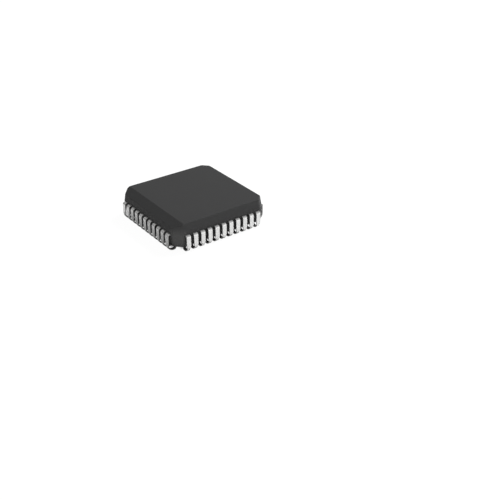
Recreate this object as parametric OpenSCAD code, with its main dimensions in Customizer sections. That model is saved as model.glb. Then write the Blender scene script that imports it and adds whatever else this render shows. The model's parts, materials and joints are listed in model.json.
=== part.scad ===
// Plastic leaded chip carrier: a square moulded body with a row of J-shaped leads on every side.
// The seating plane is Z = 0 with the origin at its centre, and lead 1 is in the middle of the -X side.
// Leads are numbered counter-clockwise, seen from above. Lengths are in millimetres, angles in degrees.

/* [Body] */
// From the centre of the last lead in a row to the body's side
end_margin = 1.905; // [1.7:0.005:2.2]
// Height of the flat top above the seating plane
top_h = 4.57; // [4.4:0.01:4.7]
// Height of the underside above the seating plane
standoff = 0.78; // [0.51:0.01:0.85]
// Height of the parting line, where the leads leave the body
parting_h = 2.76; // [2.6:0.005:2.8]
// Draft of the sides above the parting line
upper_draft = 9; // [3:0.5:10]
// Draft of the sides below the parting line
lower_draft = 7; // [3:0.5:10]
// Leg of the 45 degree cut on the three plain corners, at the parting line
plain_cut = 1.15; // [0.5:0.05:1.3]
// Leg of the 45 degree cut on the corner after lead 1's row, at the parting line
key_cut = 1.2; // [1:0.05:1.3]
// Width of the bevel along the top of lead 1's side
bevel_w = 1.3; // [1:0.05:1.4]
// Depth of that bevel below the top
bevel_h = 0.7; // [0.6:0.02:1.3]
// Flat that breaks the edges of the top and the underside
edge_break = 0.12; // [0.05:0.01:0.2]

/* [Leads] */
// Leads on each side
leads_per_side = 11; // [9:2:13]
// Spacing of the leads along a side
lead_pitch = 1.27; // [1.2:0.01:1.4]
// Thickness of the lead frame's sheet
lead_t = 0.2; // [0.15:0.01:0.3]
// Width of a lead from the body down to its knee
upper_w = 0.74; // [0.66:0.01:0.81]
// Width of a lead below its knee
lower_w = 0.5; // [0.33:0.01:0.53]
// How far a lead stands out from the body at the parting line
lead_reach = 0.51; // [0.48:0.01:0.6]
// Inner radius of the bend at the shoulder
shoulder_r = 0.2; // [0.1:0.01:0.22]
// Height at which a lead starts to narrow
knee_h = 1.1; // [1:0.01:1.8]
// Height over which it narrows
knee_len = 0.45; // [0.2:0.01:0.6]
// Outer radius of the J under the lead
j_r = 1; // [0.8:0.01:1.1]
// Gap between the tip of the J and the underside
tip_gap = 0.08; // [0.04:0.01:0.2]

/* [Lead frame in the body] */
// Length of a lead's finger inside the body
finger_len = 3.65; // [3:0.05:4]
// Straight run of the finger, next to the body's side
straight_len = 0.9; // [0.6:0.05:1.2]
// Spacing of the finger tips
tip_pitch = 0.74; // [0.65:0.01:0.8]
// Width of a finger tip
tip_w = 0.42; // [0.3:0.01:0.5]
// Gap, in plan, between the finger tips and the die paddle
paddle_gap = 0.45; // [0.3:0.05:0.8]
// Width of the bars that tie the paddle to the corners
tie_w = 0.3; // [0.2:0.02:0.4]
// Plan length of the slope in a tie bar
tie_slope = 0.6; // [0.4:0.05:1]
// Plastic over the end of a tie bar
tie_cover = 0.3; // [0.2:0.05:0.6]

/* [Die and bond wires] */
// Width of the square die
die_w = 6.4; // [4:0.1:7]
// Thickness of the die
die_t = 0.36; // [0.25:0.01:0.5]
// Thickness of the adhesive under the die
attach_t = 0.04; // [0.02:0.01:0.06]
// Margin of adhesive round the die
attach_rim = 0.2; // [0.1:0.05:0.3]
// Diameter of a bond wire
wire_d = 0.03; // [0.025:0.005:0.05]
// Height of a wire's loop above its ends
loop_h = 0.4; // [0.25:0.05:0.6]
// Spacing of the bond pads along the die's edge
pad_pitch = 0.55; // [0.3:0.01:0.6]
// From the die's edge to the middle of a bond pad
pad_inset = 0.15; // [0.1:0.01:0.25]
// From a finger's tip to the middle of its bond
stitch_inset = 0.25; // [0.15:0.01:0.4]

/* [Hidden] */
$fn = 48;
sides = ["left", "front", "right", "back"];
lead_count = len(sides) * leads_per_side;
mid_slot = (leads_per_side - 1) / 2;
row_half = mid_slot * lead_pitch;

// Body: half width at the parting line, and how far the draft draws each half in
body_half = row_half + end_margin;
upper_h = top_h - parting_h;
lower_h = parting_h - standoff;
upper_run = upper_h * tan(upper_draft);
lower_run = lower_h * tan(lower_draft);
body_span = 4 * body_half;

// Lead: heights and places along its formed strip, outwards from the body's centre
lead_top = parting_h + lead_t / 2;
lead_low = parting_h - lead_t / 2;
lead_out = body_half + lead_reach;
shoulder_out = shoulder_r + lead_t;
shoulder_h = lead_top - shoulder_out;
bend_at = lead_out - shoulder_out;
tip_angle = acos((j_r - standoff + tip_gap) / (j_r - lead_t));

// Finger, paddle and die: the top of the die is level with the bond face of the fingers
tip_at = body_half - finger_len;
fan_at = body_half - straight_len;
paddle_half = tip_at - paddle_gap;
die_low = lead_top - die_t;
paddle_top = die_low - attach_t;
paddle_low = paddle_top - lead_t;

function lead_name(number) = str("lead_", number < 10 ? "0" : "", number);
function wires_name(side) = str("bond_wires_", side);

// Place of a lead: steps counter-clockwise from the first slot of lead 1's side
function steps(number) = number - 1 + mid_slot;
function side_angle(side) = 180 + 90 * side;
function slot_of(number) = steps(number) % leads_per_side - mid_slot;
function side_of(number) = floor(steps(number) / leads_per_side);

// Middle line of a finger, at a distance from the body's centre
function finger_offset(slot, at) =
    slot * (tip_pitch + (lead_pitch - tip_pitch) * (at - tip_at) / (fan_at - tip_at));

// Half of an upright section of the body, from the underside up to the top
function lower_points(reach) = [
    [reach - lower_run - edge_break, standoff],
    [reach - lower_run * (1 - edge_break / lower_h), standoff + edge_break],
    [reach, parting_h]
];
function upper_points(reach) = [
    [reach - upper_run * (1 - edge_break / upper_h), top_h - edge_break],
    [reach - upper_run - edge_break, top_h]
];
function bevel_points(reach) = [
    [reach - upper_run * (1 - bevel_h / upper_h), top_h - bevel_h],
    [reach - upper_run - bevel_w, top_h]
];
function half_section(reach) = concat(lower_points(reach), upper_points(reach));
function bevelled_half(reach) = concat(lower_points(reach), bevel_points(reach));
function mirrored(points) = [for (i = [len(points) - 1 : -1 : 0]) [-points[i].x, points[i].y]];
function corner_reach(cut) = (2 * body_half - cut) / sqrt(2);

// Upright section with its right and left halves, run through the whole body at an angle
module section_bar(angle, right_half, left_half)
    rotate(angle)
        rotate([90, 0, 0])
            linear_extrude(height = body_span, center = true)
                polygon(concat(right_half, mirrored(left_half)));

// Drafted square with its corners cut: two sections across the sides and two across the corners
module body_form() {
    side = half_section(body_half);
    plain = half_section(corner_reach(plain_cut));
    key = half_section(corner_reach(key_cut));
    intersection() {
        section_bar(0, side, bevelled_half(body_half));
        section_bar(90, side, side);
        section_bar(45, plain, key);
        section_bar(-45, plain, plain);
    }
}

module body()
    color([0.28, 0.28, 0.285])
        difference() {
            body_form();
            for (i = [1 : lead_count])
                at_side(side_of(i)) flat_run(slot_of(i));
            paddle_form();
            attach_form();
            die_form();
            for (side = [0 : len(sides) - 1])
                wire_row(side);
        }

// Turns a shape drawn with +X outwards to one side of the body
module at_side(side) rotate(side_angle(side)) children();

// Flat part of a lead: from its bend at the shoulder into the body, where its finger fans in to the die
module flat_run(slot)
    translate([0, 0, lead_low])
        linear_extrude(height = lead_t)
            polygon([
                [tip_at, slot * tip_pitch - tip_w / 2],
                [fan_at, slot * lead_pitch - upper_w / 2],
                [bend_at, slot * lead_pitch - upper_w / 2],
                [bend_at, slot * lead_pitch + upper_w / 2],
                [fan_at, slot * lead_pitch + upper_w / 2],
                [tip_at, slot * tip_pitch + tip_w / 2]
            ]);

// Side view of all that lies within one face of a lead: its outer face, or the inner one a sheet's thickness in
module within_face(inset, from) {
    translate([from, j_r])
        square([bend_at - from, lead_top - inset - j_r]);
    translate([from, j_r])
        square([lead_out - inset - from, shoulder_h - j_r]);
    translate([bend_at, shoulder_h])
        circle(shoulder_out - inset);
    translate([lead_out - j_r, j_r])
        circle(j_r - inset);
}

// Side view of the formed strip: straight into the body, round the shoulder, down and round the J to its tip
module strip_section()
    difference() {
        within_face(0, fan_at);
        within_face(lead_t, 0);
        translate([lead_out - j_r, j_r])
            polygon(2 * j_r * [[0, 0], [-1, 0], [-sin(tip_angle), -cos(tip_angle)]]);
    }

// Front view of a lead: wide down to its knee and narrow below it
module front_view()
    polygon([
        [-upper_w / 2, top_h],
        [-upper_w / 2, knee_h],
        [-lower_w / 2, knee_h - knee_len],
        [-lower_w / 2, -standoff],
        [lower_w / 2, -standoff],
        [lower_w / 2, knee_h - knee_len],
        [upper_w / 2, knee_h],
        [upper_w / 2, top_h]
    ]);

// Formed part of a lead outside the body: shoulder, upright face and J
module j_form()
    intersection() {
        rotate([90, 0, 0])
            linear_extrude(height = lead_pitch, center = true)
                strip_section();
        rotate([90, 0, 90])
            linear_extrude(height = body_span)
                front_view();
    }

module lead(number)
    color([0.8, 0.8, 0.79])
        at_side(side_of(number))
            union() {
                flat_run(slot_of(number));
                translate([0, slot_of(number) * lead_pitch, 0]) j_form();
            }

// Bar from the paddle's corner, up its slope and out to the corner of the body
module tie_bar(angle, cut) {
    root = paddle_half * sqrt(2) - tie_w;
    slope_at = paddle_half * sqrt(2) + tie_w;
    end = corner_reach(cut) - tie_cover;
    rotate(angle)
        translate([0, tie_w / 2, 0])
            rotate([90, 0, 0])
                linear_extrude(height = tie_w)
                    polygon([
                        [root, paddle_low],
                        [slope_at, paddle_low],
                        [slope_at + tie_slope, lead_low],
                        [end, lead_low],
                        [end, lead_top],
                        [slope_at + tie_slope, lead_top],
                        [slope_at, paddle_top],
                        [root, paddle_top]
                    ]);
}

module square_plate(half, low, thickness)
    translate([-half, -half, low])
        cube([2 * half, 2 * half, thickness]);

module paddle_form() {
    square_plate(paddle_half, paddle_low, lead_t);
    tie_bar(225, key_cut);
    for (angle = [-45, 45, 135])
        tie_bar(angle, plain_cut);
}

module attach_form() square_plate(die_w / 2 + attach_rim, paddle_top, attach_t);

module die_form() square_plate(die_w / 2, die_low, die_t);

module die_paddle() color([0.72, 0.45, 0.25]) paddle_form();

module die_attach() color([0.75, 0.75, 0.72]) attach_form();

module silicon_die() color([0.36, 0.38, 0.43]) die_form();

// Straight piece of wire from one point towards another
module wire_piece(from, to, length) {
    run = to - from;
    translate(from)
        rotate([0, acos(run.z / norm(run)), atan2(run.y, run.x)])
            cylinder(d = wire_d, h = length, $fn = 6);
}

// Wire that rises from its bond pad and runs down to its finger, a little past its end
module bond_wire(slot) {
    stitch_at = tip_at + stitch_inset;
    pad = [die_w / 2 - pad_inset, slot * pad_pitch, lead_top];
    crest = pad + [0, 0, loop_h];
    stitch = [stitch_at, finger_offset(slot, stitch_at), lead_top];
    wire_piece(pad, crest, loop_h);
    wire_piece(crest, stitch, norm(stitch - crest) + loop_h);
}

// Wires of one side, with their ends cut level on the fingers
module wire_row(side)
    at_side(side)
        difference() {
            for (slot = [-mid_slot : mid_slot])
                bond_wire(slot);
            translate([0, -body_half, lead_top - top_h])
                cube([body_half, 2 * body_half, top_h]);
        }

module bond_wires(side) color([0.85, 0.68, 0.3]) wire_row(side);

body();
for (i = [1 : lead_count])
    lead(i);
die_paddle();
die_attach();
silicon_die();
for (side = [0 : len(sides) - 1])
    bond_wires(side);
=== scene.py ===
import json
import math

import bmesh
import bpy
from mathutils import Matrix, Vector

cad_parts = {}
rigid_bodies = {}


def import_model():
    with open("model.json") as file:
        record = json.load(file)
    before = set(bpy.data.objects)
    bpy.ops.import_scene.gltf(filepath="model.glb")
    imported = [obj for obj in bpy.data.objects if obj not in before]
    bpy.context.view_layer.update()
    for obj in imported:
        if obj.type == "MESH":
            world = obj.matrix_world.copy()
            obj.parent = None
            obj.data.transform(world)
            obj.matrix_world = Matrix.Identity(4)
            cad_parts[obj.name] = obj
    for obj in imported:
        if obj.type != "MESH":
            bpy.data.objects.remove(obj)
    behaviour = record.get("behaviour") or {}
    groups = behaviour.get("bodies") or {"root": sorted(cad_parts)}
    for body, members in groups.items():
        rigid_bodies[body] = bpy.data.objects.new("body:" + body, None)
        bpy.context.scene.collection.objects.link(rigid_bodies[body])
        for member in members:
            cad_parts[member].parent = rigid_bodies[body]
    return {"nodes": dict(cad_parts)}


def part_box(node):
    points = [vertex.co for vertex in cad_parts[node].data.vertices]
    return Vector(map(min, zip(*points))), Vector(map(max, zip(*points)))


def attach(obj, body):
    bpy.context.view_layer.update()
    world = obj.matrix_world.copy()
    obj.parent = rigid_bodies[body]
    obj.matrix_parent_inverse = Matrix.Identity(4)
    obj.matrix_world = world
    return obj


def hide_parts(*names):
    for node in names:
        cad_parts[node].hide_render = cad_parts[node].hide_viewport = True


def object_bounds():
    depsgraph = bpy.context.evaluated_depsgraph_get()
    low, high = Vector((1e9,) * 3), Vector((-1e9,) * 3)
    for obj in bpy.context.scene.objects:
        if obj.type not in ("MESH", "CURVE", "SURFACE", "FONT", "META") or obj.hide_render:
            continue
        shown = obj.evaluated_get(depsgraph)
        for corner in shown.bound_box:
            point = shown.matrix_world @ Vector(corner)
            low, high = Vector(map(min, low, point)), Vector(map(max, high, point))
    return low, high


for leftOver in list(bpy.data.objects):   # the start-up scene is not part of the set
    bpy.data.objects.remove(leftOver)

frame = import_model()
cadLow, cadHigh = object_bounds()
nodes = frame["nodes"]
mm = 0.001
print("frame loaded:", len(nodes), "nodes")


# Node helpers
def addNode(tree, kind, **settings):
    node = tree.nodes.new(kind)
    for name, value in settings.items():
        setattr(node, name, value)
    return node


def feed(tree, socket, value):
    # a socket takes another node's output, or a plain value
    if isinstance(value, bpy.types.NodeSocket):
        tree.links.new(value, socket)
    elif socket.type == "RGBA":
        socket.default_value = (*value, 1)
    else:
        socket.default_value = value


def mathOf(tree, operation, first, second):
    node = addNode(tree, "ShaderNodeMath", operation=operation)
    feed(tree, node.inputs[0], first)
    feed(tree, node.inputs[1], second)
    return node.outputs["Value"]


def mapRange(tree, source, low, high):
    node = addNode(tree, "ShaderNodeMapRange")
    feed(tree, node.inputs["Value"], source)
    feed(tree, node.inputs["To Min"], low)
    feed(tree, node.inputs["To Max"], high)
    return node.outputs["Result"]


def fadeBetween(tree, source, start, end):
    node = addNode(tree, "ShaderNodeMapRange", interpolation_type="SMOOTHSTEP")
    feed(tree, node.inputs["Value"], source)
    feed(tree, node.inputs["From Min"], start)
    feed(tree, node.inputs["From Max"], end)
    return node.outputs["Result"]


def mixColours(tree, factor, first, second):
    node = addNode(tree, "ShaderNodeMix", data_type="RGBA")
    feed(tree, node.inputs["Factor"], factor)
    colourSockets = [s for s in node.inputs if s.type == "RGBA"]
    for socket, colour in zip(colourSockets, (first, second)):
        feed(tree, socket, colour)
    return next(s for s in node.outputs if s.type == "RGBA")


def mixShaders(tree, share, first, second):
    node = addNode(tree, "ShaderNodeMixShader")
    for socket, value in zip(node.inputs, (share, first, second)):
        feed(tree, socket, value)
    return node.outputs["Shader"]


def addNoise(tree, place, size, detail):
    # size is the width of a grain, in millimetres
    noise = addNode(tree, "ShaderNodeTexNoise")
    feed(tree, noise.inputs["Vector"], place)
    feed(tree, noise.inputs["Scale"], mathOf(tree, "DIVIDE", 1 / mm, size))
    feed(tree, noise.inputs["Detail"], detail)
    return noise.outputs["Fac"]


# Grain shared by every finish: fine grains, broad patches and drawn streaks, all from 0 to 1
noiseDetail = {"Grain": 3, "Patch": 4, "Streak": 2}
streakScale = (1, 1, 0.08)   # stretched along Z, the way the leads are drawn


def makeGrainGroup():
    group = bpy.data.node_groups.new("surfaceGrain", "ShaderNodeTree")
    for name in noiseDetail:
        group.interface.new_socket(name=name + " Size", in_out="INPUT", socket_type="NodeSocketFloat")
        group.interface.new_socket(name=name, in_out="OUTPUT", socket_type="NodeSocketFloat")
    start = addNode(group, "NodeGroupInput")
    end = addNode(group, "NodeGroupOutput")
    place = addNode(group, "ShaderNodeTexCoord").outputs["Object"]
    drawn = addNode(group, "ShaderNodeMapping")
    feed(group, drawn.inputs["Vector"], place)
    feed(group, drawn.inputs["Scale"], streakScale)
    for name, detail in noiseDetail.items():
        where = drawn.outputs["Vector"] if name == "Streak" else place
        feed(group, end.inputs[name], addNoise(group, where, start.outputs[name + " Size"], detail))
    return group


# Rub along the edges, from the mesh's own edgeRub attribute, broken up by a noise
rubDetail = 5


def makeRubGroup():
    group = bpy.data.node_groups.new("edgeRub", "ShaderNodeTree")
    group.interface.new_socket(name="Break Size", in_out="INPUT", socket_type="NodeSocketFloat")
    group.interface.new_socket(name="Rub", in_out="OUTPUT", socket_type="NodeSocketFloat")
    start = addNode(group, "NodeGroupInput")
    end = addNode(group, "NodeGroupOutput")
    place = addNode(group, "ShaderNodeTexCoord").outputs["Object"]
    edge = addNode(group, "ShaderNodeAttribute", attribute_name="edgeRub").outputs["Fac"]
    broken = addNoise(group, place, start.outputs["Break Size"], rubDetail)
    feed(group, end.inputs["Rub"], mathOf(group, "MULTIPLY", edge, broken))
    return group


grainGroup = makeGrainGroup()
rubGroup = makeRubGroup()


def startMaterial(name, look):
    material = bpy.data.materials.new(name)
    material.use_nodes = True
    tree = material.node_tree
    shader = next(n for n in tree.nodes if n.type == "BSDF_PRINCIPLED")
    feed(tree, shader.inputs["Metallic"], look["metallic"])
    feed(tree, shader.inputs["Specular IOR Level"], look["specular"])
    grain = addNode(tree, "ShaderNodeGroup", node_tree=grainGroup)
    for kind in noiseDetail:
        feed(tree, grain.inputs[kind + " Size"], look[kind.lower() + "Size"])
    bump = addNode(tree, "ShaderNodeBump")
    feed(tree, bump.inputs["Strength"], look["bump"])
    feed(tree, bump.inputs["Distance"], look["bumpDepth"] * mm)
    feed(tree, bump.inputs["Height"], grain.outputs[look["bumpFrom"]])
    feed(tree, shader.inputs["Normal"], bump.outputs["Normal"])
    rough = mapRange(tree, grain.outputs[look["roughFrom"]], *look["rough"])
    feed(tree, shader.inputs["Roughness"], rough)
    return material, tree, shader, grain


def mixedMaterial(name, look):
    material, tree, shader, grain = startMaterial(name, look)
    base = mixColours(tree, grain.outputs["Grain"], look["dark"], look["light"])
    patches = mapRange(tree, grain.outputs["Patch"], 0, look["patchShare"])
    worn = mixColours(tree, patches, base, look["patch"])
    feed(tree, shader.inputs["Base Color"], worn)
    return material, tree, shader, worn


def addRub(tree, base, look):
    rub = addNode(tree, "ShaderNodeGroup", node_tree=rubGroup)
    feed(tree, rub.inputs["Break Size"], look["rubSize"])
    share = mapRange(tree, rub.outputs["Rub"], 0, look["rubShare"])
    return mixColours(tree, share, base, look["rubbed"])


# Moulding compound: charcoal epoxy with the fine spark-eroded grain of its mould
mouldingLook = {
    "dark": (0.039, 0.039, 0.0395), "light": (0.055, 0.055, 0.0555),
    "patch": (0.043, 0.043, 0.0433), "patchShare": 0.6,
    "rubbed": (0.075, 0.075, 0.075), "rubShare": 0.3, "rubSize": 0.6,
    # painted highlight on the key corner: its colour, centre and fade
    "cornerHighlight": (0.085, 0.085, 0.084), "cornerHighlightAt": (-7.75, -7.75, 2.1), "cornerHighlightFrom": 0.7, "cornerHighlightTo": 2.3,
    "metallic": 0, "specular": 0.25, "rough": (0.5, 0.75), "roughFrom": "Grain",
    "grainSize": 0.09, "patchSize": 4, "streakSize": 1,
    "bump": 0.35, "bumpDepth": 0.012, "bumpFrom": "Grain",
}


# Painted highlight at the key corner: the pale mark of the mould gate, painted lighter to stand in for the
# light that falls on this corner from the front
def addCornerHighlight(tree, base, look):
    away = addNode(tree, "ShaderNodeVectorMath", operation="DISTANCE")
    feed(tree, away.inputs[0], addNode(tree, "ShaderNodeTexCoord").outputs["Object"])
    feed(tree, away.inputs[1], Vector(look["cornerHighlightAt"]) * mm)
    fade = fadeBetween(tree, away.outputs["Value"], look["cornerHighlightTo"] * mm, look["cornerHighlightFrom"] * mm)
    return mixColours(tree, fade, base, look["cornerHighlight"])


def makeMoulding():
    material, tree, shader, base = mixedMaterial("mouldingCompound", mouldingLook)
    rubbed = addRub(tree, base, mouldingLook)
    # the key corner gets its painted highlight over the rubbed base
    feed(tree, shader.inputs["Base Color"], addCornerHighlight(tree, rubbed, mouldingLook))
    return material


# Plated leads: satin tin over the copper strip, drawn lengthwise and dulled in patches, with punched sides
# that are duller and also painted darker as shade
tinLook = {
    "dark": (0.74, 0.74, 0.73), "light": (0.97, 0.97, 0.96),
    "patch": (0.76, 0.76, 0.76), "patchShare": 0.5,
    "rubbed": (0.93, 0.93, 0.92), "rubShare": 0.8, "rubSize": 0.6,
    "punchedShade": (0.42, 0.415, 0.41),
    "metallic": 1, "specular": 0.5, "rough": (0.3, 0.5), "roughFrom": "Streak",
    "grainSize": 0.2, "patchSize": 0.7, "streakSize": 0.12,
    "bump": 0.25, "bumpDepth": 0.008, "bumpFrom": "Streak",
}


def makeTin():
    material, tree, shader, base = mixedMaterial("platedTin", tinLook)
    rubbed = addRub(tree, base, tinLook)
    # the sideways-facing punched sides are duller and also painted darker, a painted shade
    cutFaceShade = addNode(tree, "ShaderNodeAttribute", attribute_name="cutFaceShade").outputs["Fac"]
    feed(tree, shader.inputs["Base Color"], mixColours(tree, cutFaceShade, rubbed, tinLook["punchedShade"]))
    return material


# Finishes of the pieces that the moulding covers
innerLooks = {
    "copperSheet": {
        "dark": (0.52, 0.25, 0.13), "light": (0.66, 0.34, 0.19),
        "patch": (0.42, 0.2, 0.11), "patchShare": 0.5,
        "metallic": 1, "specular": 0.5, "rough": (0.25, 0.45), "roughFrom": "Streak",
        "grainSize": 0.05, "patchSize": 2, "streakSize": 0.1,
        "bump": 0.2, "bumpDepth": 0.006, "bumpFrom": "Streak",
    },
    "dieAdhesive": {
        "dark": (0.42, 0.42, 0.4), "light": (0.62, 0.62, 0.6),
        "patch": (0.5, 0.5, 0.48), "patchShare": 0.4,
        "metallic": 0.2, "specular": 0.5, "rough": (0.4, 0.7), "roughFrom": "Grain",
        "grainSize": 0.03, "patchSize": 1, "streakSize": 1,
        "bump": 0.5, "bumpDepth": 0.01, "bumpFrom": "Grain",
    },
    "dieSilicon": {
        "dark": (0.09, 0.1, 0.13), "light": (0.14, 0.15, 0.2),
        "patch": (0.11, 0.15, 0.17), "patchShare": 0.7,
        "metallic": 0.6, "specular": 0.5, "rough": (0.15, 0.3), "roughFrom": "Patch",
        "grainSize": 0.08, "patchSize": 0.9, "streakSize": 1,
        "bump": 0.05, "bumpDepth": 0.002, "bumpFrom": "Grain",
    },
    "goldWire": {
        "dark": (0.68, 0.44, 0.14), "light": (0.83, 0.58, 0.22),
        "patch": (0.75, 0.5, 0.18), "patchShare": 0.5,
        "metallic": 1, "specular": 0.5, "rough": (0.2, 0.35), "roughFrom": "Grain",
        "grainSize": 0.02, "patchSize": 0.5, "streakSize": 0.1,
        "bump": 0.1, "bumpDepth": 0.002, "bumpFrom": "Grain",
    },
}
innerFinish = {
    "die_paddle": "copperSheet", "die_attach": "dieAdhesive", "silicon_die": "dieSilicon",
    "bond_wires_left": "goldWire", "bond_wires_front": "goldWire",
    "bond_wires_right": "goldWire", "bond_wires_back": "goldWire",
}


def dressInnerNodes():
    made = {name: mixedMaterial(name, look)[0] for name, look in innerLooks.items()}
    for node, finish in innerFinish.items():
        slots = nodes[node].data.materials
        slots.clear()
        slots.append(made[finish])


moulding = makeMoulding()
tin = makeTin()
dressInnerNodes()
print("materials made:", len(bpy.data.materials))


# Shading normals weighed by area, so that the flat faces stay flat up to their rounded edges
def setNormals(mesh):
    sums = [Vector() for vertex in mesh.vertices]
    for polygon in mesh.polygons:
        for vertex in polygon.vertices:
            sums[vertex] += polygon.normal * polygon.area
    normals = [Vector()] * len(mesh.loops)
    for polygon in mesh.polygons:
        for loop, vertex in zip(polygon.loop_indices, polygon.vertices):
            normals[loop] = sums[vertex].normalized() if polygon.use_smooth else polygon.normal
    mesh.normals_split_custom_set(normals)


# A piece made in millimetres becomes a plain mesh in the part's frame
def finishedPiece(maker, name, material, stoodFor):
    bpy.context.view_layer.update()
    evaluated = maker.evaluated_get(bpy.context.evaluated_depsgraph_get())
    mesh = bpy.data.meshes.new_from_object(evaluated)
    bpy.data.objects.remove(maker)
    mesh.name = name
    mesh.transform(Matrix.Scale(mm, 4))
    setNormals(mesh)
    mesh.materials.clear()
    mesh.materials.append(material)
    piece = bpy.data.objects.new(name, mesh)
    bpy.context.scene.collection.objects.link(piece)
    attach(piece, "root")
    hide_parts(*stoodFor)
    return piece


def makerObject(name, bm):
    mesh = bpy.data.meshes.new(name)
    bm.to_mesh(mesh)
    bm.free()
    maker = bpy.data.objects.new(name, mesh)
    bpy.context.scene.collection.objects.link(maker)
    return maker


# Moulded body, in millimetres: the planes of its mould, with every edge rounded as a rolling ball leaves it
bodySizes = {
    "parting": 2.76, "upperDraft": 9, "lowerDraft": 7,
    "plainCut": 1.15, "keyCut": 1.2, "cornerRadius": 0.9, "bevelWidth": 1.3, "bevelDepth": 0.7,
    "edgeRadius": 0.12, "roundSteps": 5, "mergeGap": 0.001, "flatAngle": 0.3,
}
sixteenth = math.pi / 8    # of a turn: from a side to the edge of a corner cut, and on to the cut itself
keySteps = (9, 10, 11)     # the corner cut towards minus X and minus Y, with its two edges
sameFacing = 0.9999        # cosine from which a face lies in a plane of the mould


def bodyPlanes(sizes, half, under, top):
    # points on the faces of the mould, each with the way its face looks
    parting = sizes["parting"]
    upperLean = math.tan(math.radians(sizes["upperDraft"]))
    lowerLean = -math.tan(math.radians(sizes["lowerDraft"]))
    planes = [(Vector((0, 0, top)), Vector((0, 0, 1))), (Vector((0, 0, under)), Vector((0, 0, -1)))]
    trim = sizes["cornerRadius"] * (1 / math.cos(sixteenth) - 1)
    for step in range(16):
        cut = sizes["keyCut"] if step in keySteps else sizes["plainCut"]
        if step % 4 == 0:     # a side
            reach = half
        elif step % 4 == 2:   # a corner cut
            reach = (2 * half - cut) / math.sqrt(2)
        else:                 # the edge between them
            reach = half * math.cos(sixteenth) + (half - cut) * math.sin(sixteenth) - trim
        outwards = Vector((math.cos(step * sixteenth), math.sin(step * sixteenth), 0))
        for lean in (upperLean, lowerLean):
            facing = (outwards + Vector((0, 0, lean))).normalized()
            planes.append((outwards * reach + Vector((0, 0, parting)), facing))
    topEdge = half - (top - parting) * upperLean
    lowEdge = topEdge + sizes["bevelDepth"] * upperLean
    across = lowEdge - topEdge + sizes["bevelWidth"]
    slope = Vector((-sizes["bevelDepth"], 0, across)).normalized()
    planes.append((Vector((-lowEdge, 0, top - sizes["bevelDepth"])), slope))
    return planes


def cutBlock(planes, size):
    bm = bmesh.new()
    bmesh.ops.create_cube(bm, size=size)
    for point, normal in planes:
        everything = bm.verts[:] + bm.edges[:] + bm.faces[:]
        bmesh.ops.bisect_plane(bm, geom=everything, plane_co=point, plane_no=normal, clear_outer=True)
        openEdges = [edge for edge in bm.edges if edge.is_boundary]
        bmesh.ops.edgeloop_fill(bm, edges=openEdges)
    bmesh.ops.recalc_face_normals(bm, faces=bm.faces[:])
    return bm


def ballPoints(bm, radius, steps):
    # where a ball that rolls over the block touches: at its faces, round its edges and over its corners
    points = []
    for vertex in bm.verts:
        normals = [face.normal for face in vertex.link_faces]
        normals.append(sum(normals, Vector()).normalized())
        for edge in vertex.link_edges:
            first, second = (face.normal for face in edge.link_faces)
            normals += [first.slerp(second, step / steps) for step in range(1, steps)]
        points += [vertex.co + normal * radius for normal in normals]
    return points


def markRub(mesh, planes):
    # a vertex that touches no flat face of the mould is on a rounded edge
    rub = [1.0] * len(mesh.vertices)
    for polygon in mesh.polygons:
        if max(polygon.normal.dot(normal) for point, normal in planes) > sameFacing:
            for vertex in polygon.vertices:
                rub[vertex] = 0.0
    mesh.attributes.new("edgeRub", "FLOAT", "POINT").data.foreach_set("value", rub)


def hullOf(points, sizes):
    bm = bmesh.new()
    for point in points:
        bm.verts.new(point)
    bmesh.ops.remove_doubles(bm, verts=bm.verts[:], dist=sizes["mergeGap"])
    hull = bmesh.ops.convex_hull(bm, input=bm.verts[:])
    unused = hull["geom_interior"] + hull["geom_unused"]
    spare = {part for part in unused if isinstance(part, bmesh.types.BMVert)}
    bmesh.ops.delete(bm, geom=list(spare), context="VERTS")
    flatAngle = math.radians(sizes["flatAngle"])
    bmesh.ops.dissolve_limit(bm, angle_limit=flatAngle, verts=bm.verts[:], edges=bm.edges[:])
    bmesh.ops.recalc_face_normals(bm, faces=bm.faces[:])
    for face in bm.faces:
        face.smooth = True
    return bm


def buildBody():
    low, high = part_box("body")
    half, under, top = high.x / mm, low.z / mm, high.z / mm
    planes = bodyPlanes(bodySizes, half, under, top)
    radius = bodySizes["edgeRadius"]
    inset = [(point - normal * radius, normal) for point, normal in planes]
    block = cutBlock(inset, 4 * half)   # from a cube that is twice as wide as the body
    bm = hullOf(ballPoints(block, radius, bodySizes["roundSteps"]), bodySizes)
    block.free()
    maker = makerObject("bodyMaker", bm)
    body = finishedPiece(maker, "mouldedBody", moulding, ["body"])
    markRub(body.data, planes)
    return body


body = buildBody()
print("moulded body:", len(body.data.polygons), "faces")


# Formed leads, in millimetres: one strip with rolled edges, repeated along a side and round the four sides
leadSizes = {
    "Leads Per Side": 11, "Sides": 4, "Pitch": 1.27, "Tip Pitch": 0.74,
    "thickness": 0.2, "upperWidth": 0.74, "lowerWidth": 0.5, "tipWidth": 0.42,
    "shoulderRadius": 0.2, "kneeHeight": 1.1, "kneeLength": 0.45, "jRadius": 1.0, "tipGap": 0.08,
    "fingerLength": 3.65, "straightLength": 0.9, "edgeRadius": 0.045,
    "shoulderSteps": 8, "jSteps": 24, "edgeSteps": 3,
}


def widthAt(sizes, height):
    share = min(max((sizes["kneeHeight"] - height) / sizes["kneeLength"], 0), 1)
    return sizes["upperWidth"] + (sizes["lowerWidth"] - sizes["upperWidth"]) * share


def arcStations(sizes, centre, radius, fromTurn, toTurn, steps):
    found = []
    for step in range(steps + 1):
        turn = fromTurn + (toTurn - fromTurn) * step / steps
        x = centre[0] + radius * math.cos(math.radians(turn))
        z = centre[1] + radius * math.sin(math.radians(turn))
        found.append((x, z, turn, widthAt(sizes, z)))
    return found


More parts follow.
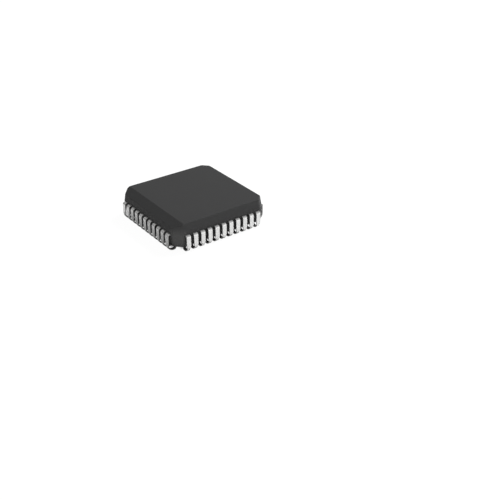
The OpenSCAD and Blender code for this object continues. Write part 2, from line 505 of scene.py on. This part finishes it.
def stripStations(sizes, half, under, reach, leadTop):
    # centre line of the strip as (x, z), the way its outer face looks, and its width
    sheet, jRadius = sizes["thickness"], sizes["jRadius"]
    middle = leadTop - sheet / 2
    shoulder = sizes["shoulderRadius"] + sheet / 2
    shoulderAt = (reach - sizes["shoulderRadius"] - sheet, middle - shoulder)
    jAt = (reach - jRadius, jRadius)
    tipTurn = math.degrees(math.acos((jRadius - under + sizes["tipGap"]) / (jRadius - sheet)))
    return [
        (half - sizes["fingerLength"], middle, 90, sizes["tipWidth"]),
        (half - sizes["straightLength"], middle, 90, sizes["upperWidth"]),
        *arcStations(sizes, shoulderAt, shoulder, 90, 0, sizes["shoulderSteps"]),
        (reach - sheet / 2, sizes["kneeHeight"], 0, sizes["upperWidth"]),
        *arcStations(sizes, jAt, jRadius - sheet / 2, 0, -90 - tipTurn, sizes["jSteps"]),
    ]


def stripSection(sizes, width):
    # rounded oblong, as (across, through) pairs with marks for its rounded edges and for its punched sides,
    # which get the painted shade
    radius, steps = sizes["edgeRadius"], sizes["edgeSteps"]
    acrossTo, throughTo = width / 2 - radius, sizes["thickness"] / 2 - radius
    points = []
    for corner, (sideAcross, sideThrough) in enumerate(((1, 1), (-1, 1), (-1, -1), (1, -1))):
        for step in range(steps + 1):
            turn = math.radians(90 * corner + 90 * step / steps)
            across = sideAcross * acrossTo + radius * math.cos(turn)
            through = sideThrough * throughTo + radius * math.sin(turn)
            rounded = 0.0 if step in (0, steps) else 1.0
            points.append((across, through, rounded, math.cos(turn) ** 2))
    return points


def oneLead(sizes, half, under, reach, leadTop):
    bm = bmesh.new()
    rub = bm.verts.layers.float.new("edgeRub")
    # this layer marks the sideways-facing sides that are painted darker as shade
    cut = bm.verts.layers.float.new("cutFaceShade")
    rings = []
    for x, z, turn, width in stripStations(sizes, half, under, reach, leadTop):
        facing = Vector((math.cos(math.radians(turn)), 0, math.sin(math.radians(turn))))
        ring = []
        for across, through, rounded, punchedShade in stripSection(sizes, width):
            vertex = bm.verts.new(Vector((x, across, z)) + facing * through)
            vertex[rub] = rounded
            vertex[cut] = punchedShade
            ring.append(vertex)
        rings.append(ring)
    count = len(rings[0])
    for first, second in zip(rings, rings[1:]):
        for i in range(count):
            j = (i + 1) % count
            bm.faces.new((first[i], first[j], second[j], second[i]))
    bm.faces.new(rings[0])
    bm.faces.new(rings[-1])
    bmesh.ops.recalc_face_normals(bm, faces=bm.faces[:])
    for face in bm.faces:
        face.smooth = len(face.verts) == 4   # the two ends stay flat
    return bm


def leadRowsTree():
    tree = bpy.data.node_groups.new("leadRows", "GeometryNodeTree")
    tree.is_modifier = True
    inputs = (
        ("Lead", "NodeSocketGeometry"), ("Leads Per Side", "NodeSocketInt"), ("Sides", "NodeSocketInt"),
        ("Pitch", "NodeSocketFloat"), ("Tip Pitch", "NodeSocketFloat"),
        ("Fan Start", "NodeSocketFloat"), ("Fan End", "NodeSocketFloat"), ("Finish", "NodeSocketMaterial"),
    )
    for name, kind in inputs:
        tree.interface.new_socket(name=name, in_out="INPUT", socket_type=kind)
    tree.interface.new_socket(name="Leads", in_out="OUTPUT", socket_type="NodeSocketGeometry")
    link = tree.links.new
    start = addNode(tree, "NodeGroupInput").outputs
    end = addNode(tree, "NodeGroupOutput")

    # slot numbers run from minus to plus about the middle lead
    middle = mathOf(tree, "MULTIPLY", mathOf(tree, "SUBTRACT", start["Leads Per Side"], 1), 0.5)
    index = addNode(tree, "GeometryNodeInputIndex").outputs["Index"]
    slot = mathOf(tree, "SUBTRACT", index, middle)
    places = addNode(tree, "GeometryNodePoints")
    link(start["Leads Per Side"], places.inputs["Count"])
    along = addNode(tree, "ShaderNodeCombineXYZ")
    link(mathOf(tree, "MULTIPLY", slot, start["Pitch"]), along.inputs["Y"])
    link(along.outputs["Vector"], places.inputs["Position"])
    keepSlot = addNode(tree, "GeometryNodeStoreNamedAttribute", data_type="FLOAT", domain="POINT")
    keepSlot.inputs["Name"].default_value = "slot"
    link(places.outputs["Points"], keepSlot.inputs["Geometry"])
    link(slot, keepSlot.inputs["Value"])
    row = addNode(tree, "GeometryNodeInstanceOnPoints")
    link(keepSlot.outputs["Geometry"], row.inputs["Points"])
    link(start["Lead"], row.inputs["Instance"])
    realRow = addNode(tree, "GeometryNodeRealizeInstances")
    link(row.outputs["Instances"], realRow.inputs["Geometry"])

    # inside the body the fingers close up towards the die
    where = addNode(tree, "ShaderNodeSeparateXYZ")
    link(addNode(tree, "GeometryNodeInputPosition").outputs["Position"], where.inputs["Vector"])
    share = addNode(tree, "ShaderNodeMapRange")
    link(where.outputs["X"], share.inputs["Value"])
    link(start["Fan Start"], share.inputs["From Min"])
    link(start["Fan End"], share.inputs["From Max"])
    readSlot = addNode(tree, "GeometryNodeInputNamedAttribute", data_type="FLOAT")
    readSlot.inputs["Name"].default_value = "slot"
    narrowing = mathOf(tree, "SUBTRACT", start["Tip Pitch"], start["Pitch"])
    closing = mathOf(tree, "MULTIPLY", readSlot.outputs["Attribute"], narrowing)
    shift = addNode(tree, "ShaderNodeCombineXYZ")
    link(mathOf(tree, "MULTIPLY", closing, share.outputs["Result"]), shift.inputs["Y"])
    fan = addNode(tree, "GeometryNodeSetPosition")
    link(realRow.outputs["Geometry"], fan.inputs["Geometry"])
    link(shift.outputs["Vector"], fan.inputs["Offset"])

    # the same row on each side, turned about Z
    sides = addNode(tree, "GeometryNodePoints")
    link(start["Sides"], sides.inputs["Count"])
    cornerTurn = mathOf(tree, "DIVIDE", 2 * math.pi, start["Sides"])
    sideIndex = addNode(tree, "GeometryNodeInputIndex").outputs["Index"]
    turn = addNode(tree, "ShaderNodeCombineXYZ")
    link(mathOf(tree, "MULTIPLY", sideIndex, cornerTurn), turn.inputs["Z"])
    spin = addNode(tree, "FunctionNodeEulerToRotation")
    link(turn.outputs["Vector"], spin.inputs["Euler"])
    ring = addNode(tree, "GeometryNodeInstanceOnPoints")
    link(sides.outputs["Points"], ring.inputs["Points"])
    link(fan.outputs["Geometry"], ring.inputs["Instance"])
    link(spin.outputs["Rotation"], ring.inputs["Rotation"])
    realRing = addNode(tree, "GeometryNodeRealizeInstances")
    link(ring.outputs["Instances"], realRing.inputs["Geometry"])
    finish = addNode(tree, "GeometryNodeSetMaterial")
    link(realRing.outputs["Geometry"], finish.inputs["Geometry"])
    link(start["Finish"], finish.inputs["Material"])
    link(finish.outputs["Geometry"], end.inputs["Leads"])
    return tree


def buildLeads():
    leadNames = sorted(name for name in nodes if name.startswith("lead_"))
    low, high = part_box("body")
    half, under = high.x / mm, low.z / mm
    reach = max(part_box(name)[1].x for name in leadNames) / mm
    leadTop = max(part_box(name)[1].z for name in leadNames) / mm
    maker = makerObject("leadMaker", oneLead(leadSizes, half, under, reach, leadTop))
    rows = maker.modifiers.new("leadRows", "NODES")
    rows.node_group = leadRowsTree()
    values = {
        "Leads Per Side": leadSizes["Leads Per Side"], "Sides": leadSizes["Sides"],
        "Pitch": leadSizes["Pitch"], "Tip Pitch": leadSizes["Tip Pitch"],
        "Fan Start": half - leadSizes["straightLength"], "Fan End": half - leadSizes["fingerLength"],
        "Finish": tin,
    }
    for item in rows.node_group.interface.items_tree:
        if item.in_out == "INPUT" and item.name in values:
            rows[item.identifier] = values[item.name]
    return finishedPiece(maker, "formedLeads", tin, leadNames)


leads = buildLeads()
print("formed leads:", len(leads.data.polygons), "faces")


def mirrorRays(tree, path):
    return mathOf(tree, "MAXIMUM", path.outputs["Is Glossy Ray"], path.outputs["Is Transmission Ray"])


# Floor: white to the camera apart from a soft shadow, shaded in full under the part, and open from below
floorLook = {
    "halfWidth": 400, "drop": 0.01, "colour": (0.82, 0.82, 0.82), "white": 1.1,
    "whiteShare": 0.87, "mirrorShare": 0.06,
    "shadeAt": (-0.7, 0, 0), "rowShade": (6.4, 7.3), "cornerShade": (5.1, 6.3),
}


def clearOfPart(tree):
    # 0 under the part and 1 outside it, and also at the corners, where no leads stand
    shifted = addNode(tree, "ShaderNodeVectorMath", operation="SUBTRACT")
    feed(tree, shifted.inputs[0], addNode(tree, "ShaderNodeTexCoord").outputs["Object"])
    feed(tree, shifted.inputs[1], Vector(floorLook["shadeAt"]) * mm)
    away = addNode(tree, "ShaderNodeVectorMath", operation="ABSOLUTE")
    feed(tree, away.inputs[0], shifted.outputs["Vector"])
    axes = addNode(tree, "ShaderNodeSeparateXYZ")
    feed(tree, axes.inputs["Vector"], away.outputs["Vector"])
    edges = []
    for operation, shade in (("MAXIMUM", "rowShade"), ("MINIMUM", "cornerShade")):
        reach = mathOf(tree, operation, axes.outputs["X"], axes.outputs["Y"])
        start, end = floorLook[shade]
        edges.append(fadeBetween(tree, reach, start * mm, end * mm))
    return mathOf(tree, "MAXIMUM", *edges)


def buildFloor():
    bm = bmesh.new()
    bmesh.ops.create_grid(bm, x_segments=1, y_segments=1, size=floorLook["halfWidth"] * mm)
    floor = makerObject("floor", bm)
    floor.location.z = -floorLook["drop"] * mm
    material = bpy.data.materials.new("paleFloor")
    material.use_nodes = True
    tree = material.node_tree
    tree.nodes.clear()
    path = addNode(tree, "ShaderNodeLightPath")
    side = addNode(tree, "ShaderNodeNewGeometry")
    lit = addNode(tree, "ShaderNodeBsdfDiffuse")
    feed(tree, lit.inputs["Color"], floorLook["colour"])
    white = addNode(tree, "ShaderNodeEmission")
    feed(tree, white.inputs["Strength"], floorLook["white"])
    clear = addNode(tree, "ShaderNodeBsdfTransparent")
    seen = mathOf(tree, "MULTIPLY", path.outputs["Is Camera Ray"], floorLook["whiteShare"])
    mirrored = mathOf(tree, "MULTIPLY", mirrorRays(tree, path), floorLook["mirrorShare"])
    share = mathOf(tree, "MULTIPLY", mathOf(tree, "ADD", seen, mirrored), clearOfPart(tree))
    top = mixShaders(tree, share, lit.outputs["BSDF"], white.outputs["Emission"])
    both = mixShaders(tree, side.outputs["Backfacing"], top, clear.outputs["BSDF"])
    feed(tree, addNode(tree, "ShaderNodeOutputMaterial").inputs["Surface"], both)
    floor.data.materials.append(material)


# Studio: a pale room with soft panels round the part, placed by azimuth, elevation and distance
roomLook = {
    "ambient": (0.24, 0.24, 0.24), "background": (1, 1, 1), "ceiling": (0.42, 0.42, 0.42), "ceilingAt": 0.6,
    "paleWall": (1.5, 1.5, 1.5), "dimWall": (0.05, 0.05, 0.05), "paleAzimuth": 36,
}
panels = {
    "keyPanel": {
        "azimuth": 88, "elevation": 44, "distance": 300, "width": 160, "power": 1.05, "mirrored": False,
    },
    "fillPanel": {
        "azimuth": -42, "elevation": 10, "distance": 300, "width": 300, "power": 0.2, "mirrored": False,
    },
}


def directionFrom(azimuth, elevation):
    a, e = math.radians(azimuth), math.radians(elevation)
    return Vector((math.sin(a) * math.cos(e), -math.cos(a) * math.cos(e), math.sin(e)))


def buildRoom():
    world = bpy.data.worlds.new("paleRoom")
    bpy.context.scene.world = world
    world.use_nodes = True
    tree = world.node_tree
    shader = next(n for n in tree.nodes if n.type == "BACKGROUND")
    path = addNode(tree, "ShaderNodeLightPath")
    # what metal mirrors: a pale wall on one side, a dim one on the other, and a grey ceiling
    way = addNode(tree, "ShaderNodeTexCoord").outputs["Generated"]
    height = addNode(tree, "ShaderNodeSeparateXYZ")
    feed(tree, height.inputs["Vector"], way)
    facing = addNode(tree, "ShaderNodeVectorMath", operation="DOT_PRODUCT")
    feed(tree, facing.inputs[0], way)
    feed(tree, facing.inputs[1], directionFrom(roomLook["paleAzimuth"], 0))
    paleness = fadeBetween(tree, facing.outputs["Value"], -1, 1)
    walls = mixColours(tree, paleness, roomLook["dimWall"], roomLook["paleWall"])
    climb = fadeBetween(tree, height.outputs["Z"], 0, roomLook["ceilingAt"])
    room = mixColours(tree, climb, walls, roomLook["ceiling"])
    light = mixColours(tree, mirrorRays(tree, path), roomLook["ambient"], room)
    colour = mixColours(tree, path.outputs["Is Camera Ray"], light, roomLook["background"])
    feed(tree, shader.inputs["Color"], colour)


def buildPanels():
    aim = (cadLow + cadHigh) / 2
    for name, panel in panels.items():
        lamp = bpy.data.lights.new(name, "AREA")
        lamp.shape = "DISK"
        lamp.size = panel["width"] * mm
        lamp.energy = panel["power"]
        holder = bpy.data.objects.new(name, lamp)
        towards = directionFrom(panel["azimuth"], panel["elevation"])
        holder.location = aim + towards * panel["distance"] * mm
        holder.rotation_euler = (-towards).to_track_quat("-Z", "Y").to_euler()
        holder.visible_glossy = panel["mirrored"]
        bpy.context.scene.collection.objects.link(holder)


# Camera: the photograph's angle, with the part left of the middle of the frame
cameraView = {
    "azimuth": -36.405, "elevation": 29.89, "distance": 134.066, "across": 8.992, "down": 4.958,
    "focalPixels": 845.66, "framePixels": 500, "sensorWidth": 36, "nearClip": 1, "farClip": 10000,
}


def buildCamera():
    back = directionFrom(cameraView["azimuth"], cameraView["elevation"])
    angle = math.radians(cameraView["azimuth"])
    right = Vector((math.cos(angle), math.sin(angle), 0))
    up = back.cross(right)
    lens = bpy.data.cameras.new("photoCamera")
    lens.sensor_width = cameraView["sensorWidth"]
    lens.lens = lens.sensor_width * cameraView["focalPixels"] / cameraView["framePixels"]
    lens.clip_start = cameraView["nearClip"] * mm
    lens.clip_end = cameraView["farClip"] * mm
    camera = bpy.data.objects.new("photoCamera", lens)
    place = back * cameraView["distance"] + right * cameraView["across"] - up * cameraView["down"]
    camera.location = place * mm
    camera.rotation_euler = (-back).to_track_quat("-Z", "Y").to_euler()
    bpy.context.scene.collection.objects.link(camera)
    bpy.context.scene.camera = camera


buildFloor()
buildRoom()
buildPanels()
buildCamera()
bpy.context.scene.view_settings.view_transform = "Standard"
print("floor, room, panels and camera placed")
